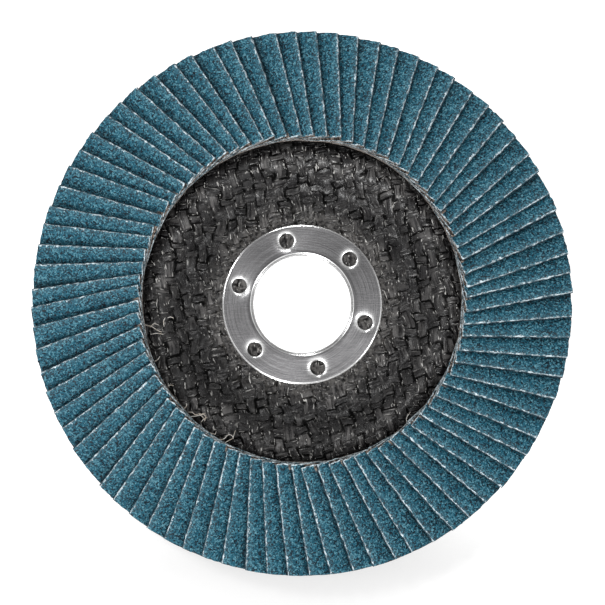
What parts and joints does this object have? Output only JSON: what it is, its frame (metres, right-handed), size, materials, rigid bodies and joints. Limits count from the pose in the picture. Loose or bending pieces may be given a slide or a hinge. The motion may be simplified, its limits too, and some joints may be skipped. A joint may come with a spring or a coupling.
{
  "type": "flap disc",
  "caption": "Conical flap disc for an angle grinder: overlapping blue abrasive cloth flaps on a dished woven glass-fibre plate with a steel hub ring.",
  "frame": {"origin": "centre of the bore in the back face of the hub, which is also the lowest point at rest", "axes": "+Z along the bore axis, from the hub's back face towards the working side with the flaps; X and Y lie in the disc's plane"},
  "size_m": [0.125, 0.125, 0.0163],
  "materials": {
    "glass_laminate": "woven glass fibre in dark, glossy resin",
    "ring_steel": "brushed and lightly scratched",
    "epoxy_adhesive": "cured amber epoxy",
    "abrasive_cloth": "coarse blue-green ceramic grain in resin on woven cloth"
  },
  "bodies": {
    "root": {"backing_plate": "glass_laminate", "hub_ring": "ring_steel", "adhesive_bed": "epoxy_adhesive", "flap_pair_01": "abrasive_cloth", "flap_pair_02": "abrasive_cloth", "flap_pair_03": "abrasive_cloth", "flap_pair_04": "abrasive_cloth", "flap_pair_05": "abrasive_cloth", "flap_pair_06": "abrasive_cloth", "flap_pair_07": "abrasive_cloth", "flap_pair_08": "abrasive_cloth", "flap_pair_09": "abrasive_cloth", "flap_pair_10": "abrasive_cloth", "flap_pair_11": "abrasive_cloth", "flap_pair_12": "abrasive_cloth", "flap_pair_13": "abrasive_cloth", "flap_pair_14": "abrasive_cloth", "flap_pair_15": "abrasive_cloth", "flap_pair_16": "abrasive_cloth", "flap_pair_17": "abrasive_cloth", "flap_pair_18": "abrasive_cloth", "flap_pair_19": "abrasive_cloth", "flap_pair_20": "abrasive_cloth", "flap_pair_21": "abrasive_cloth", "flap_pair_22": "abrasive_cloth", "flap_pair_23": "abrasive_cloth", "flap_pair_24": "abrasive_cloth", "flap_pair_25": "abrasive_cloth", "flap_pair_26": "abrasive_cloth", "flap_pair_27": "abrasive_cloth", "flap_pair_28": "abrasive_cloth", "flap_pair_29": "abrasive_cloth", "flap_pair_30": "abrasive_cloth", "flap_pair_31": "abrasive_cloth", "flap_pair_32": "abrasive_cloth", "flap_pair_33": "abrasive_cloth", "flap_pair_34": "abrasive_cloth", "flap_pair_35": "abrasive_cloth", "flap_pair_36": "abrasive_cloth", "flap_pair_37": "abrasive_cloth", "flap_pair_38": "abrasive_cloth", "flap_pair_39": "abrasive_cloth", "flap_pair_40": "abrasive_cloth"}
  },
  "joints": []
}
